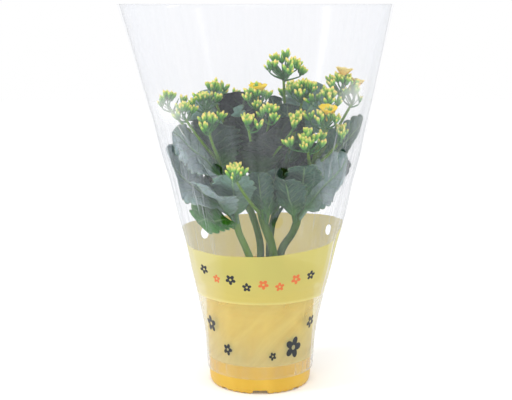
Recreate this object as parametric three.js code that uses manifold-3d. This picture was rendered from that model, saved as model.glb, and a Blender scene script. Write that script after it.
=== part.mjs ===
// Flowering kalanchoe in a nursery pot, standing in a clear conical film sleeve.
// Millimetres, +Z up, origin at the centre of the pot's flat underside.
// -Y is the front, +X is to the right as seen from the front.
import * as THREE from 'three';
import { mergeVertices } from 'three/addons/utils/BufferGeometryUtils.js';
import Module from 'manifold-3d';

// Driving dimensions
const POT_HEIGHT = 105;
const POT_RIM_RADIUS = 55;
const POT_TOP_RADIUS = 51;
const POT_LOW_RADIUS = 46.6;
const POT_FOOT_RADIUS = 43.8;
const POT_CORNER = 6;
const AROUND = 36;
const POT_WALL = 1.4;
const POT_FLOOR = 2.4;
const RIM_DEPTH = 9;
const NOTCH_COUNT = 8;
const NOTCH_HEIGHT = 3.8;
const SOIL_LEVEL = 95;
const SLEEVE_FOOT = 15;
const SLEEVE_TOP = 347;
const SLEEVE_WALL = 0.8;
const SLEEVE_TAPER = 0.237;
const SLEEVE_HALF_WIDTH = 68;
const SLEEVE_HALF_WIDTH_AT = 125;
const VENT_RADIUS = 5;
const VENT_FAN = 0.3;
const LEAF_ROWS = 11;
const LEAF_EDGE = 0.5;
const LEAF_MIDDLE = 1.0;
const PETIOLE_RADIUS = 2.3;
const PETIOLE_SHARE = 0.2;
const PEDUNCLE_RADIUS = 1.8;
const BUD_LENGTH = 9;
const BUD_RADIUS = 2.1;
const BUD_STALK_RADIUS = 0.8;
const HUB_RADIUS = 2.5;
const PETAL_REACH = 8.2;
const JOINT_GAP = 0.3;

const COLOURS = {
  pot: 0xe6b93f,
  soil: 0x3d2c20,
  film: 0xf2f4f6,
  leaf: 0x3f5f49,
  bud: 0xa9bf5a,
  petal: 0xf2c21b,
};

const wasm = await Module();
wasm.setup();

const radians = THREE.MathUtils.degToRad;
const vector = (x, y, z) => new THREE.Vector3(x, y, z);

// Turns a closed geometry into a solid that can be joined and cut.
function solidOf(geometry) {
  const plain = geometry.clone();
  plain.deleteAttribute('normal');
  plain.deleteAttribute('uv');
  const merged = mergeVertices(plain, 1e-4);
  const mesh = new wasm.Mesh({
    numProp: 3,
    vertProperties: new Float32Array(merged.attributes.position.array),
    triVerts: new Uint32Array(merged.index.array),
  });
  return new wasm.Manifold(mesh);
}

// Turns a solid back into a three.js geometry.
function geometryOf(solid) {
  const mesh = solid.getMesh();
  const geometry = new THREE.BufferGeometry();
  const positions = new Float32Array((mesh.vertProperties.length / mesh.numProp) * 3);
  for (let i = 0; i < positions.length / 3; i += 1) {
    for (let axis = 0; axis < 3; axis += 1) {
      positions[3 * i + axis] = mesh.vertProperties[mesh.numProp * i + axis];
    }
  }
  geometry.setAttribute('position', new THREE.BufferAttribute(positions, 3));
  geometry.setIndex(new THREE.BufferAttribute(new Uint32Array(mesh.triVerts), 1));
  return geometry;
}

function unionOf(solids) {
  return solids.reduce((whole, solid) => whole.add(solid));
}

// Joins equal rings of points, each turning anticlockwise about the direction of
// travel, and closes both ends with a fan to a point.
function loftGeometry(rings, startPoint, endPoint) {
  const count = rings[0].length;
  const positions = [];
  const indices = [];
  rings.flat().forEach((point) => positions.push(point.x, point.y, point.z));
  positions.push(startPoint.x, startPoint.y, startPoint.z);
  positions.push(endPoint.x, endPoint.y, endPoint.z);
  const start = rings.length * count;
  const last = (rings.length - 1) * count;
  for (let j = 0; j < count; j += 1) {
    const next = (j + 1) % count;
    for (let i = 0; i < rings.length - 1; i += 1) {
      const low = i * count;
      const high = low + count;
      indices.push(low + j, low + next, high + next);
      indices.push(low + j, high + next, high + j);
    }
    indices.push(start, next, j);
    indices.push(start + 1, last + j, last + next);
  }
  const geometry = new THREE.BufferGeometry();
  geometry.setAttribute('position', new THREE.BufferAttribute(new Float32Array(positions), 3));
  geometry.setIndex(indices);
  return geometry;
}

// A round tube along a path of points, with one radius for each point.
function tubeSolid(points, radii, sides) {
  const curve = new THREE.CatmullRomCurve3(points);
  const rings = points.map((point, i) => {
    const along = curve.getTangent(i / (points.length - 1));
    const side = vector(1, 0, 0).addScaledVector(along, -along.x).normalize();
    const across = along.clone().cross(side);
    return Array.from({ length: sides }, (_, j) => {
      const turn = (2 * Math.PI * j) / sides;
      return point.clone()
        .addScaledVector(side, radii[i] * Math.cos(turn))
        .addScaledVector(across, radii[i] * Math.sin(turn));
    });
  });
  return solidOf(loftGeometry(rings, points[0], points[points.length - 1]));
}

// The pot's outside radius at a height, below the rim.
function potRadius(z) {
  return POT_LOW_RADIUS + (POT_TOP_RADIUS - POT_LOW_RADIUS) * (z / POT_HEIGHT);
}

// The sleeve is a straight cone that hugs the pot at its foot. Its half width is
// the larger of the two, rounded where they meet.
function sleeveHalfWidth(z) {
  const cone = SLEEVE_HALF_WIDTH + SLEEVE_TAPER * (z - SLEEVE_HALF_WIDTH_AT);
  const hug = potRadius(Math.min(z, 60)) + 1.5;
  return 0.5 * (cone + hug + Math.hypot(cone - hug, 3));
}

// Towards its mouth the sleeve opens flatter from front to back than from side to side.
function sleeveHalfDepth(z) {
  const flat = 0.17 * THREE.MathUtils.smoothstep(z, 60, SLEEVE_TOP);
  return sleeveHalfWidth(z) * (1 - flat);
}

// The sleeve leans a little to the left at its mouth.
function sleeveCentre(z) {
  return z < 150 ? z / 150 : 1 - 5 * Math.pow((z - 150) / 197, 2);
}

// A point of the sleeve's wall. The power draws both side seams to a slight edge.
function sleevePoint(angle, z, inset) {
  const sine = Math.sin(angle);
  const power = 1 + 0.12 * THREE.MathUtils.smoothstep(z, 60, 200);
  return vector(
    sleeveCentre(z) + (sleeveHalfWidth(z) - inset) * Math.cos(angle),
    (sleeveHalfDepth(z) - inset) * Math.sign(sine) * Math.pow(Math.abs(sine), power),
    z,
  );
}

// Presses a point that would come near the film back inside it, softly.
function pressedInside(point, margin) {
  const across = (point.x - sleeveCentre(point.z)) / (sleeveHalfWidth(point.z) - margin);
  const deep = point.y / (sleeveHalfDepth(point.z) - margin);
  const reach = Math.hypot(across, Math.pow(Math.abs(deep), 0.9));
  if (reach < 0.86) return point.clone();
  const scale = (0.86 + 0.14 * Math.tanh((reach - 0.86) / 0.14)) / reach;
  const x = sleeveCentre(point.z) + (point.x - sleeveCentre(point.z)) * scale;
  return vector(x, point.y * scale, point.z);
}

// The pot: a thin moulded wall with a turned rim and a flat floor. Notches in the
// foot open through the floor's corner and drain it.
function potSolid() {
  const lip = [
    [0, 0],
    [POT_FOOT_RADIUS, 0],
    [POT_LOW_RADIUS - 0.8, 2],
    [potRadius(POT_CORNER), POT_CORNER],
    [potRadius(POT_HEIGHT - RIM_DEPTH), POT_HEIGHT - RIM_DEPTH],
    [POT_RIM_RADIUS - 1, POT_HEIGHT - RIM_DEPTH + 1],
    [POT_RIM_RADIUS, POT_HEIGHT - 1.5],
    [POT_RIM_RADIUS - 1.2, POT_HEIGHT],
    [POT_RIM_RADIUS - 2.4, POT_HEIGHT],
    [potRadius(POT_HEIGHT - RIM_DEPTH - 2) - POT_WALL, POT_HEIGHT - RIM_DEPTH - 2],
    [potRadius(POT_CORNER) - POT_WALL, POT_CORNER],
    [POT_FOOT_RADIUS - POT_WALL, POT_FLOOR],
    [0, POT_FLOOR],
  ];
  const profile = lip.map(([radius, z]) => new THREE.Vector2(radius, z));
  const lathe = new THREE.LatheGeometry(profile, AROUND);
  lathe.rotateX(Math.PI / 2);
  let pot = solidOf(lathe);
  for (let i = 0; i < NOTCH_COUNT; i += 1) {
    const wide = i % 2 === 0;
    const notch = new THREE.BoxGeometry(14, wide ? 13 : 7, wide ? 2 * NOTCH_HEIGHT : NOTCH_HEIGHT);
    notch.translate(POT_FOOT_RADIUS, 0, 0);
    notch.rotateZ((2 * Math.PI * i) / NOTCH_COUNT + Math.PI / 2);
    pot = pot.subtract(solidOf(notch));
  }
  return pot;
}

// Each stem is a path of points from its root in the soil to its tip.
const STEMS = {
  left: {
    radius: 3.8,
    points: [
      [-9, -6, 76], [-7.8, -8, 98], [-7.6, -9, 112], [-13, -9, 127],
      [-19.5, -8, 142], [-23, -8, 158], [-29, -6, 182], [-35, -4, 205],
    ],
  },
  centre: {
    radius: 4.4,
    points: [
      [10, -8, 70], [13, -9, 98], [13.2, -9.5, 114], [10, -9, 132],
      [3.5, -8, 150], [-1, -6, 168], [-2, -4, 185], [-2, -2, 200],
    ],
  },
  right: {
    radius: 4.2,
    points: [
      [19, 4, 76], [18, 2, 98], [17.6, 0.5, 112], [21, -4, 127],
      [30, -8, 142], [36, -8, 160], [42, -6, 182], [48, -2, 205],
    ],
  },
  inner: {
    radius: 3.8,
    points: [
      [-1.5, 9, 76], [0, 7, 98], [0.4, 6, 124], [-2.5, 9, 140],
      [-8, 14, 156], [-13, 18, 174], [-18, 24, 205],
    ],
  },
  back: {
    radius: 3.8,
    points: [
      [8, 12, 76], [8.6, 8, 98], [8.8, 7, 124], [10.5, 12, 140],
      [14, 20, 155], [20, 28, 180], [26, 30, 208],
    ],
  },
};

// Leaves of each stem: height of the joint, direction seen from above (degrees, 0 to
// the right and -90 to the front), mean rise, arch, length, width, roll and turn.
const LEAVES = {
  left: [
    [148, -142, 10, 16, 46, 52, -25, 0],
    [156, -176, 43, -14, 94, 44, -42, 0],
    [150, -142, 42, 10, 62, 50, -12, 0],
    [182, -164, 46, 8, 74, 44, -50, 0],
    [190, -126, 62, 8, 66, 50, 0, 0],
    [170, -156, 52, 6, 54, 36, -30, 0],
    [149, -95, 50, 8, 69, 41, 0, 0],
  ],
  centre: [
    [152, -98, 54, 8, 62, 24, 0, 0],
    [180, -110, 66, 6, 76, 60, 0, 0],
    [176, -46, 62, 8, 84, 58, 0, 0],
    [186, 58, 56, 6, 44, 36, 0, 0],
    [146, -66, 68, 4, 62, 24, 0, 0],
    [139, -26, 62, 4, 32, 8, 0, 0],
  ],
  right: [
    [149, -106, 49, 8, 62, 30, 0, 0],
    [150, -22, 50, 6, 82, 42, 76, 0],
    [184, 2, 46, 6, 86, 38, 34, 0],
    [168, -90, 46, 8, 56, 36, 0, 0],
    [166, 30, 32, 14, 74, 46, 0, 0],
  ],
  inner: [
    [152, 125, 26, 14, 72, 50, 0, 0],
    [168, 168, 36, 14, 78, 48, -30, 0],
    [188, 118, 50, 10, 74, 50, 0, 0],
    [203, 160, 55, 8, 76, 50, -45, 0],
    [204, 78, 76, 4, 64, 50, 0, 0],
  ],
  back: [
    [156, 24, 54, 10, 76, 48, 0, 0],
    [170, 96, 44, 12, 70, 46, 0, 0],
    [186, 40, 55, 10, 76, 50, 0, 0],
    [203, 150, 74, 6, 62, 34, 0, 0],
    [200, -88, 69, 6, 62, 34, 0, 0],
    [201, 2, 64, 6, 80, 50, 55, 0],
  ],
};

// Flower heads: the stem each grows from, the height where its stalk leaves the
// stem, its hub, its reach and its number of florets.
const HEADS = [
  ['left', 205, [-81, -2, 254], 15, 11],
  ['left', 204, [-66, -24, 247], 14, 11],
  ['left', 205, [-50, -4, 253], 16, 14],
  ['inner', 205, [-42, 14, 262], 15, 13],
  ['left', 200, [-45, -42, 238], 16, 13],
  ['centre', 200, [-2, -22, 258], 18, 15],
  ['back', 208, [21, 2, 281], 21, 15],
  ['centre', 198, [8, -42, 248], 13, 11],
  ['back', 208, [38, -8, 264], 17, 14],
  ['right', 205, [59, -16, 256], 17, 14],
  ['right', 205, [73, 8, 268], 16, 14],
  ['right', 204, [84, 13, 258], 14, 12],
  ['right', 203, [57, -38, 242], 16, 14],
  ['right', 198, [41, -50, 222], 19, 15],
  ['centre', 199, [29, -38, 240], 12, 9],
  ['right', 200, [69, -32, 227], 14, 8],
  ['centre', 158, [-21, -64, 199], 12, 12],
  ['centre', 198, [-10, -45, 240], 12, 9],
  ['inner', 205, [-36, 58, 254], 16, 14],
  ['back', 208, [33, 52, 257], 16, 14],
];

// Open flowers: the head each stands in and the distance of its petals from the hub.
const OPEN_FLOWERS = [[5, 18], [12, 14], [10, 17], [11, 17]];

function stemPoint(stem, z) {
  const points = STEMS[stem].points;
  let i = 0;
  while (i < points.length - 2 && points[i + 1][2] < z) i += 1;
  const [low, high] = [points[i], points[i + 1]];
  const share = (z - low[2]) / (high[2] - low[2]);
  return vector(
    low[0] + (high[0] - low[0]) * share,
    low[1] + (high[1] - low[1]) * share,
    z,
  );
}

// Half width of a leaf, as a share of its widest: narrow stalk, egg-shaped blade.
function leafOutline(t) {
  return Math.pow(t, 0.6) * Math.pow(1 - t, 0.45) / 0.4869;
}

// A leaf is lofted along its midrib, which rises, arches and turns. The blade is
// folded up along the midrib and its edge has rounded teeth.
function leafSolid(stem, [z, direction, rise, arch, length, width, roll, turn]) {
  const base = stemPoint(stem, z);
  const shares = [0, 0.6 * PETIOLE_SHARE];
  for (let i = 0; i < LEAF_ROWS; i += 1) {
    const t = 0.03 + 0.96 * (i / (LEAF_ROWS - 1));
    shares.push(PETIOLE_SHARE + (1 - PETIOLE_SHARE) * t);
  }
  const rings = [];
  const steps = 60;
  let position = base.clone();
  let done = 0;
  let tip = base;
  shares.forEach((share, row) => {
    let frame = null;
    while (true) {
      const s = done / steps;
      const up = radians(rise + arch * (1 - 2 * s));
      const heading = radians(direction + turn * s);
      const along = vector(Math.cos(up) * Math.cos(heading), Math.cos(up) * Math.sin(heading), Math.sin(up));
      frame = { along, heading };
      if (s >= share - 1e-9) break;
      position = position.clone().addScaledVector(along, length / steps);
      done += 1;
    }
    const level = vector(-Math.sin(frame.heading), Math.cos(frame.heading), 0);
    const above = frame.along.clone().cross(level);
    const lean = radians(roll);
    const side = level.clone().multiplyScalar(Math.cos(lean)).addScaledVector(above, Math.sin(lean));
    const normal = above.clone().multiplyScalar(Math.cos(lean)).addScaledVector(level, -Math.sin(lean));
    const blade = row > 1;
    const t = blade ? (share - PETIOLE_SHARE) / (1 - PETIOLE_SHARE) : 0;
    const tooth = row % 2 === 0 ? 1 : 0.87;
    const petiole = width < 20 ? 0.5 * PETIOLE_RADIUS : PETIOLE_RADIUS;
    const half = blade ? Math.max(petiole, (width / 2) * leafOutline(t) * tooth) : petiole;
    const middle = blade ? LEAF_MIDDLE : petiole;
    const fold = blade ? 0.22 * half : 0;
    const centre = pressedInside(position, 3.5);
    const rightEdge = pressedInside(
      position.clone().addScaledVector(side, half).addScaledVector(normal, fold),
      3.5,
    );
    const leftEdge = pressedInside(
      position.clone().addScaledVector(side, -half).addScaledVector(normal, fold),
      3.5,
    );
    rings.push([
      rightEdge.clone().addScaledVector(normal, -LEAF_EDGE),
      rightEdge.clone().addScaledVector(normal, LEAF_EDGE),
      centre.clone().addScaledVector(normal, middle),
      leftEdge.clone().addScaledVector(normal, LEAF_EDGE),
      leftEdge.clone().addScaledVector(normal, -LEAF_EDGE),
      centre.clone().addScaledVector(normal, -middle),
    ]);
    tip = centre.clone().addScaledVector(frame.along, 0.6);
  });
  return solidOf(loftGeometry(rings, base, tip));
}

// A head's stalk runs from its stem to just under the hub in a soft bow.
function stalkCurve([stem, z, hub]) {
  const root = stemPoint(stem, z);
  const top = vector(hub[0], hub[1], hub[2]);
  const bow = root.clone().lerp(top, 0.5).add(vector(0, 0, -0.08 * root.distanceTo(top)));
  return new THREE.QuadraticBezierCurve3(root, bow, top);
}

function stemSolid(stem, extra) {
  const { radius, points } = STEMS[stem];
  const path = points.map(([x, y, z]) => vector(x, y, z));
  const radii = path.map((_, i) => radius * (1 - 0.35 * (i / (path.length - 1))) + extra);
  return tubeSolid(path, radii, 8);
}

function leafyStemSolid(stem) {
  const parts = [stemSolid(stem, 0)];
  LEAVES[stem].forEach((leaf) => parts.push(leafSolid(stem, leaf)));
  HEADS.filter((head) => head[0] === stem).forEach((head) => {
    const curve = stalkCurve(head);
    const points = curve.getPoints(3);
    const radii = points.map((_, i) => PEDUNCLE_RADIUS * (1 - 0.12 * i));
    parts.push(tubeSolid(points, radii, 4));
  });
  return unionOf(parts);
}

// The hub of a head is a small ball of flat faces. They are listed from the one
// that looks most along the head's axis to the one that looks least so.
function headHub([stem, z, hub]) {
  const curve = stalkCurve([stem, z, hub]);
  const along = curve.getTangent(1);
  const centre = curve.getPoint(1).addScaledVector(along, HUB_RADIUS + JOINT_GAP);
  const axis = along.clone().lerp(vector(0, 0, 1), 0.6).normalize();
  const ball = new THREE.IcosahedronGeometry(HUB_RADIUS, 0);
  ball.deleteAttribute('normal');
  ball.deleteAttribute('uv');
  const shell = mergeVertices(ball, 1e-3);
  const corners = Array.from(
    { length: shell.attributes.position.count },
    (_, i) => new THREE.Vector3().fromBufferAttribute(shell.attributes.position, i),
  );
  const faces = Array.from({ length: shell.index.count / 3 }, (_, i) => {
    const ends = [0, 1, 2].map((k) => shell.index.getX(3 * i + k));
    const middle = ends.reduce((sum, k) => sum.add(corners[k]), vector(0, 0, 0)).divideScalar(3);
    const aim = middle.clone().normalize().addScaledVector(axis, 1.1).normalize();
    return { ends, middle, aim, rise: middle.dot(axis) };
  });
  faces.sort((a, b) => b.rise - a.rise);
  return { centre, corners, faces };
}

// A flower head: faces of the hub are drawn out into florets, each a thin stalk that
// swells into a pointed bud. The first face stays free for an open flower.
function headSolid(head, opened) {
  const [reach, florets] = head.slice(3);
  const { centre, corners, faces } = headHub(head);
  const points = corners.map((corner) => corner.clone().add(centre));
  const indices = [];
  faces.forEach(({ ends, middle, aim }, order) => {
    if (order >= florets || (opened && order === 0)) {
      indices.push(...ends);
      return;
    }
    const length = reach * (0.86 + 0.14 * Math.cos(2.4 * order));
    const stations = [
      [0.45 * length, BUD_STALK_RADIUS],
      [length - 0.58 * BUD_LENGTH, BUD_RADIUS],
    ];
    let ring = ends;
    stations.forEach(([distance, radius]) => {
      const heart = pressedInside(centre.clone().addScaledVector(aim, distance), 4);
      const next = ends.map((k) => {
        const offset = corners[k].clone().sub(middle);
        offset.addScaledVector(aim, -offset.dot(aim)).setLength(radius);
        points.push(heart.clone().add(offset));
        return points.length - 1;
      });
      [0, 1, 2].forEach((k) => {
        const m = (k + 1) % 3;
        indices.push(ring[k], ring[m], next[m], ring[k], next[m], next[k]);
      });
      ring = next;
    });
    points.push(pressedInside(centre.clone().addScaledVector(aim, length), 2));
    const tip = points.length - 1;
    [0, 1, 2].forEach((k) => indices.push(ring[k], ring[(k + 1) % 3], tip));
  });
  const geometry = new THREE.BufferGeometry();
  const positions = points.flatMap((point) => [point.x, point.y, point.z]);
  geometry.setAttribute('position', new THREE.BufferAttribute(new Float32Array(positions), 3));
  geometry.setIndex(indices);
  return solidOf(geometry);
}

// An open flower is one lofted piece: a narrow tube that stands on the hub's first
// face and spreads into four petals.
function openFlowerSolid([head, distance]) {
  const { centre, faces } = headHub(HEADS[head]);
  const foot = faces[0].middle.length() + JOINT_GAP - distance;
  const petalShares = [0.24, 0.78, 1, 0.78];
  const ring = (radius, z, lobed) => Array.from({ length: 16 }, (_, j) => {
    const turn = (2 * Math.PI * j) / 16 + 0.3;
    const share = lobed ? petalShares[j % 4] : 1;
    const lift = lobed ? 1.6 * share : 0;
    return vector(radius * share * Math.cos(turn), radius * share * Math.sin(turn), z + lift);
  });
  const rings = [
    ring(0.5, foot, false),
    ring(1.1, -1, false),
    ring(PETAL_REACH, 0, true),
    ring(PETAL_REACH, 0.8, true),
  ];
  const geometry = loftGeometry(rings, vector(0, 0, foot), vector(0, 0, 0.4));
  const turn = new THREE.Quaternion().setFromUnitVectors(vector(0, 0, 1), faces[0].aim);
  geometry.applyQuaternion(turn);
  const heart = centre.clone().addScaledVector(faces[0].aim, distance);
  geometry.translate(heart.x, heart.y, heart.z);
  return solidOf(geometry);
}

// The soil fills the pot to just under its rim. Its top is gently uneven, and each
// stem stands in a plain hole.
function soilSolid() {
  const ring = (radius, z, rough) => Array.from({ length: AROUND }, (_, j) => {
    const turn = (2 * Math.PI * j) / AROUND;
    const x = radius * Math.cos(turn);
    const y = radius * Math.sin(turn);
    return vector(x, y, z + rough * (Math.sin(0.31 * x + 1) + Math.cos(0.37 * y)));
  });
  const wall = (z) => potRadius(z) - POT_WALL - 0.5;
  const rings = [
    ring(POT_FOOT_RADIUS - 9, POT_FLOOR + 0.4, 0),
    ring(wall(12), 12, 0),
    ring(wall(SOIL_LEVEL - 4), SOIL_LEVEL - 4, 0),
    ring(wall(SOIL_LEVEL) - 2.5, SOIL_LEVEL - 1.5, 0.3),
    ring(33, SOIL_LEVEL, 0.7),
  ];
  const low = vector(0, 0, POT_FLOOR + 0.4);
  const soil = solidOf(loftGeometry(rings, low, vector(0, 0, SOIL_LEVEL + 1)));
  return Object.keys(STEMS).reduce((rest, stem) => rest.subtract(stemSolid(stem, 0.4)), soil);
}

// The film sleeve: a thin shell, open at both ends, with rows of round vents that
// lie straight on the flat film and so rise towards the seams.
function sleeveSolid() {
  const levels = [SLEEVE_FOOT, 42, 64, 90, 150, 250, SLEEVE_TOP];
  const ring = (z, inset) => Array.from(
    { length: AROUND },
    (_, j) => sleevePoint((2 * Math.PI * j) / AROUND, z, inset),
  );
  const outer = levels.map((z) => ring(z, 0));
  const reach = 4;
  const shell = solidOf(loftGeometry(outer, vector(0, 0, SLEEVE_FOOT), vector(0, 0, SLEEVE_TOP)));
  const inner = levels.map((z) => ring(z, SLEEVE_WALL));
  const lowest = inner[0].map((p) => p.clone().add(vector(0, 0, -reach)));
  const highest = inner[inner.length - 1].map((p) => p.clone().add(vector(0, 0, reach)));
  const core = solidOf(loftGeometry(
    [lowest, ...inner, highest],
    vector(0, 0, SLEEVE_FOOT - reach),
    vector(0, 0, SLEEVE_TOP + reach),
  ));
  const vents = ventList().map(([angle, z]) => {
    const place = sleevePoint(angle, z, 0.5 * SLEEVE_WALL);
    const drill = new THREE.CylinderGeometry(VENT_RADIUS, VENT_RADIUS, 8, 8);
    drill.rotateZ(Math.PI / 2);
    drill.rotateZ(Math.atan2(place.y / 0.8, place.x));
    drill.translate(place.x, place.y, place.z);
    return solidOf(drill);
  });
  return shell.subtract(core).subtract(unionOf(vents));
}

// Vents: rows at a height on the middle line, at angles from the middle line of the
// front and of the back.
const VENT_ROWS = [
  [206, [-55, -25, 12, 50], [-50, -12, 25, 55]],
  [163, [-23, 10, 42], [-42, -10, 23]],
  [120, [], [-64, 51]],
];

function ventList() {
  return VENT_ROWS.flatMap(([middle, front, back]) => {
    const slant = middle + SLEEVE_HALF_WIDTH / SLEEVE_TAPER - SLEEVE_HALF_WIDTH_AT;
    const height = (angle) => middle + slant * (1 / Math.cos(radians(angle) * VENT_FAN) - 1);
    return [
      ...front.map((angle) => [radians(angle - 90), height(angle)]),
      ...back.map((angle) => [radians(angle + 90), height(angle)]),
    ];
  });
}

const group = new THREE.Group();

function place(name, solid, colour, roughness, opacity = 1) {
  const material = new THREE.MeshStandardMaterial({ color: colour, roughness, metalness: 0 });
  if (opacity < 1) {
    material.transparent = true;
    material.opacity = opacity;
  }
  const mesh = new THREE.Mesh(geometryOf(solid), material);
  mesh.name = name;
  group.add(mesh);
}

const isOpened = (i) => OPEN_FLOWERS.some(([head]) => head === i);
const number = (i) => String(i + 1).padStart(2, '0');

place('pot', potSolid(), COLOURS.pot, 0.45);
place('potting_soil', soilSolid(), COLOURS.soil, 0.95);
Object.keys(STEMS).forEach((stem) => {
  place(`leafy_stem_${stem}`, leafyStemSolid(stem), COLOURS.leaf, 0.5);
});
HEADS.forEach((head, i) => {
  place(`flower_head_${number(i)}`, headSolid(head, isOpened(i)), COLOURS.bud, 0.5);
});
OPEN_FLOWERS.forEach((flower, i) => {
  place(`open_flower_${number(i)}`, openFlowerSolid(flower), COLOURS.petal, 0.5);
});
place('film_sleeve', sleeveSolid(), COLOURS.film, 0.1, 0.25);

export default group;
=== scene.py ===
# A flowering kalanchoe in a yellow nursery pot, standing in a clear conical film
# sleeve. Shapes are worked out in millimetres and put into meshes in metres, in the
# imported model's frame: +Z up, -Y to the front, origin under the middle of the pot.
from functools import partial

import bmesh
import bpy
import numpy as np
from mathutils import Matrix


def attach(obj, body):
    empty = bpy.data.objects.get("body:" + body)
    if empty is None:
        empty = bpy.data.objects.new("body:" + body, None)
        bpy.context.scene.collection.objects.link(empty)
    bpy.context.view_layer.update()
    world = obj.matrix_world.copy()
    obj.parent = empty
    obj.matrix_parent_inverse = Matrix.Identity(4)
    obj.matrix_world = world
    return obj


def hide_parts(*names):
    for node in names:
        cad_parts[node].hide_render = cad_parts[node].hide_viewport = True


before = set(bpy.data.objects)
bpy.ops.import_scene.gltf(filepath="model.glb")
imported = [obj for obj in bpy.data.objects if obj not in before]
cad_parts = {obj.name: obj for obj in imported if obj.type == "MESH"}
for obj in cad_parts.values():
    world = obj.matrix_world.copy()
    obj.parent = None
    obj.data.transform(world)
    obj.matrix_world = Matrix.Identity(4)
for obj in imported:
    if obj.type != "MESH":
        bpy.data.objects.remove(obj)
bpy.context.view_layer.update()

# The pot is a thin injection-moulded polypropylene nursery pot, 110 mm across its
# turned rim. Its wall stands a little outwards, its lower corner is rounded, and
# notches in the foot let water out.
POT_HEIGHT = 105
POT_RIM_RADIUS = 55
POT_TOP_RADIUS = 51
POT_LOW_RADIUS = 46.6
POT_FOOT_RADIUS = 43.8
NOTCH_HEIGHT = 3.8
NOTCH_HALF_WIDTHS = (6.6, 3.6)


def linear(code):
    """An sRGB hex colour as linear red, green, blue and alpha 1. Each channel is
    divided by 12.92 below 0.04, and otherwise raised to 2.4 after its offset."""
    srgb = np.array([int(code[k : k + 2], 16) for k in (1, 3, 5)]) / 255
    low, high = srgb / 12.92, ((srgb + 0.055) / 1.055) ** 2.4
    return (*np.where(srgb <= 0.04045, low, high), 1.0)


def smoothstep(low, high, value):
    """0 below low, 1 above high, and an S-shaped rise of 3t2 - 2t3 between them."""
    t = np.clip((value - low) / (high - low), 0, 1)
    return t * t * (3 - 2 * t)


def woven(rows, around):
    """Quads of a grid of rows by around points that closes round: each joins point j
    and j + 1 of one row to the same two of the next row."""
    i = np.arange(rows - 1)[:, None] * around
    j = np.arange(around)
    k = (j + 1) % around
    return np.stack([i + j, i + k, i + around + k, i + around + j], -1).reshape(-1, 4)


def full_turn(count):
    """Angles that share a full turn evenly, from 0."""
    return np.linspace(0, 2 * np.pi, count, endpoint=False)


def xyz(x, y, z):
    """Points from their three coordinates, each spread over the others' grid."""
    return np.stack(np.broadcast_arrays(x, y, z), -1)


def grid(points, **marks):
    """A part from a grid of points in mm that closes round. Each of its marks is a
    number for all points, or for each row or column."""
    size = points.shape[:2]
    marks = {mark: np.broadcast_to(value, size).reshape(-1) for mark, value in marks.items()}
    return {"points": points.reshape(-1, 3), "quads": woven(*size), **marks}


def as_piece(name, parts, material, node):
    """One mesh from parts, each a dict of points in mm, quads and numbers for each
    point. Doubled points are merged, so poles and seams are closed."""
    marks = sorted(set().union(*parts) - {"points", "quads"})
    starts = np.cumsum([0] + [len(part["points"]) for part in parts[:-1]])
    points = np.concatenate([part["points"] for part in parts]) * 0.001
    quads = np.concatenate([part["quads"] + at for part, at in zip(parts, starts)])
    mesh = bpy.data.meshes.new(name)
    mesh.from_pydata(points, [], quads)
    for mark in marks:
        values = [np.broadcast_to(p.get(mark, 0.0), len(p["points"])) for p in parts]
        layer = mesh.attributes.new(mark, "FLOAT", "POINT")
        layer.data.foreach_set("value", np.concatenate(values).astype(np.float32))
    work = bmesh.new()
    work.from_mesh(mesh)
    bmesh.ops.remove_doubles(work, verts=work.verts, dist=2e-6)
    bmesh.ops.dissolve_degenerate(work, edges=work.edges, dist=1e-7)
    work.to_mesh(mesh)
    work.free()
    mesh.polygons.foreach_set("use_smooth", np.ones(len(mesh.polygons), bool))
    mesh.materials.append(material)
    piece = bpy.data.objects.new(name, mesh)
    bpy.context.scene.collection.objects.link(piece)
    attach(piece, "root")
    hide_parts(node)


def add_node(tree, kind, *inputs, **named):
    """Adds a node of a kind, such as Bump, or Math ADD with its operation. What follows
    goes to its inputs in order, then by name: a value, a hex colour, another node's
    output, or a node, which stands for its first output in use. Its own properties and
    a ramp's stops are given by name too."""
    kind, *mode = kind.split()
    node = tree.nodes.new("ShaderNode" + kind)
    for choice in mode:
        setattr(node, "data_type" if kind == "Mix" else "operation", choice)
    ends = list(zip([socket for socket in node.inputs if socket.enabled], inputs))
    for name, value in named.items():
        if name == "stops":
            for end, (at, code) in zip(node.color_ramp.elements, (value[0], value[-1])):
                end.position, end.color = at, linear(code)
            for at, code in value[1:-1]:
                node.color_ramp.elements.new(at).color = linear(code)
        elif hasattr(node, name):
            setattr(node, name, value)
        else:
            ends.append((node.inputs[name.replace("_", " ")], value))
    for socket, value in ends:
        if isinstance(value, bpy.types.Node):
            value = next(output for output in value.outputs if output.enabled)
        if isinstance(value, bpy.types.NodeSocket):
            tree.links.new(value, socket)
        else:
            socket.default_value = linear(value) if isinstance(value, str) else value
    return node


def new_material(name):
    """A named material with no nodes yet, and the function that adds one to it."""
    material = bpy.data.materials.new(name)
    material.use_nodes = True
    material.node_tree.nodes.clear()
    return material, partial(add_node, material.node_tree)


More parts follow.
